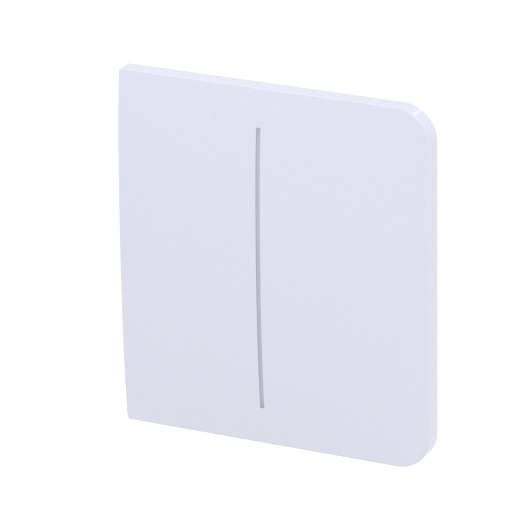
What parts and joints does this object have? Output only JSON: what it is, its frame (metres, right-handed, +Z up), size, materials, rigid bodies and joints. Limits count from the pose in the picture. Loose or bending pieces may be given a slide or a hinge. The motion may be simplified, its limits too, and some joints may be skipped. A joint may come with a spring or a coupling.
{
  "type": "smart light switch",
  "caption": "Touch light switch: a crowned white panel with a thin grey divider, square on the joint side and rounded on the free side, over a mounting plate and a flush relay core.",
  "frame": {"origin": "where the wall box's axis meets the wall, on the mounting plate's back face", "axes": "+X right as seen from the front, +Y into the wall, +Z up"},
  "size_m": [0.0768, 0.0343, 0.085],
  "materials": {
    "panel_white": "satin",
    "strip_grey": "frosted",
    "cover_white": "matte",
    "core_grey": "fine grain",
    "plate_steel": "zinc plated",
    "screw_steel": "zinc plated",
    "copper_foil": "bare copper",
    "spring_bronze": "bare bronze",
    "pin_gold": "gold flash",
    "terminal_brass": "nickel plated brass",
    "touch_board_white": "white solder mask",
    "relay_board_green": "green solder mask",
    "chip_black": "moulded epoxy",
    "led_white": "clear resin over white",
    "header_black": "moulded",
    "relay_black": "moulded",
    "coil_tape": "polyester tape",
    "ferrite": "sintered",
    "can_sleeve": "shrink sleeve",
    "varistor_blue": "dipped epoxy",
    "capacitor_grey": "moulded box",
    "fuse_ceramic": "ceramic tube",
    "shield_tin": "tinned"
  },
  "bodies": {
    "base": {"support_frame": "cover_white", "mounting_plate": "plate_steel", "core_cover": "core_grey", "spigot_clips": "spring_bronze", "core_housing": "core_grey", "core_screws": "screw_steel", "relay_board": "relay_board_green", "left_relay": "relay_black", "right_relay": "relay_black", "transformer_coil": "coil_tape", "transformer_yoke": "ferrite", "filter_capacitor": "can_sleeve", "varistor": "varistor_blue", "film_capacitor": "capacitor_grey", "rectifier": "chip_black", "fuse": "fuse_ceramic", "radio_board": "relay_board_green", "radio_shield": "shield_tin", "antenna": "spring_bronze", "pin_socket": "header_black", "busbars": "terminal_brass"},
    "panel": {"front_panel": "panel_white", "divider_strip": "strip_grey", "left_electrode": "copper_foil", "right_electrode": "copper_foil", "electrode_contacts": "spring_bronze", "touch_board": "touch_board_white", "divider_leds": "led_white", "touch_controller": "chip_black", "touch_chips": "chip_black", "pin_header": "header_black", "header_pins": "pin_gold", "panel_cover": "cover_white", "cover_screws": "screw_steel"},
    "clamp_screw_1": {"terminal_screw_1": "screw_steel"},
    "clamp_cage_1": {"terminal_cage_1": "terminal_brass"},
    "clamp_screw_2": {"terminal_screw_2": "screw_steel"},
    "clamp_cage_2": {"terminal_cage_2": "terminal_brass"},
    "clamp_screw_3": {"terminal_screw_3": "screw_steel"},
    "clamp_cage_3": {"terminal_cage_3": "terminal_brass"},
    "clamp_screw_4": {"terminal_screw_4": "screw_steel"},
    "clamp_cage_4": {"terminal_cage_4": "terminal_brass"}
  },
  "joints": [
    {"name": "panel_pull", "type": "slide", "parent": "base", "child": "panel", "axis": [0, -1, 0], "range_m": [0, 0.015]},
    {"name": "clamp_screw_1_turn", "type": "hinge", "parent": "base", "child": "clamp_screw_1", "pos_m": [-0.0105, 0, -0.0175], "axis": [0, -1, 0], "range_deg": [0, 2160]},
    {"name": "clamp_cage_1_rise", "type": "slide", "parent": "base", "child": "clamp_cage_1", "axis": [0, 1, 0], "range_m": [0, 0.003]},
    {"name": "clamp_screw_2_turn", "type": "hinge", "parent": "base", "child": "clamp_screw_2", "pos_m": [-0.0035, 0, -0.0175], "axis": [0, -1, 0], "range_deg": [0, 2160]},
    {"name": "clamp_cage_2_rise", "type": "slide", "parent": "base", "child": "clamp_cage_2", "axis": [0, 1, 0], "range_m": [0, 0.003]},
    {"name": "clamp_screw_3_turn", "type": "hinge", "parent": "base", "child": "clamp_screw_3", "pos_m": [0.0035, 0, -0.0175], "axis": [0, -1, 0], "range_deg": [0, 2160]},
    {"name": "clamp_cage_3_rise", "type": "slide", "parent": "base", "child": "clamp_cage_3", "axis": [0, 1, 0], "range_m": [0, 0.003]},
    {"name": "clamp_screw_4_turn", "type": "hinge", "parent": "base", "child": "clamp_screw_4", "pos_m": [0.0105, 0, -0.0175], "axis": [0, -1, 0], "range_deg": [0, 2160]},
    {"name": "clamp_cage_4_rise", "type": "slide", "parent": "base", "child": "clamp_cage_4", "axis": [0, 1, 0], "range_m": [0, 0.003]}
  ],
  "couplings": [
    {"joint": "clamp_screw_1_turn", "follows": "clamp_cage_1_rise", "rad_per_m": 12566},
    {"joint": "clamp_screw_2_turn", "follows": "clamp_cage_2_rise", "rad_per_m": 12566},
    {"joint": "clamp_screw_3_turn", "follows": "clamp_cage_3_rise", "rad_per_m": 12566},
    {"joint": "clamp_screw_4_turn", "follows": "clamp_cage_4_rise", "rad_per_m": 12566}
  ]
}
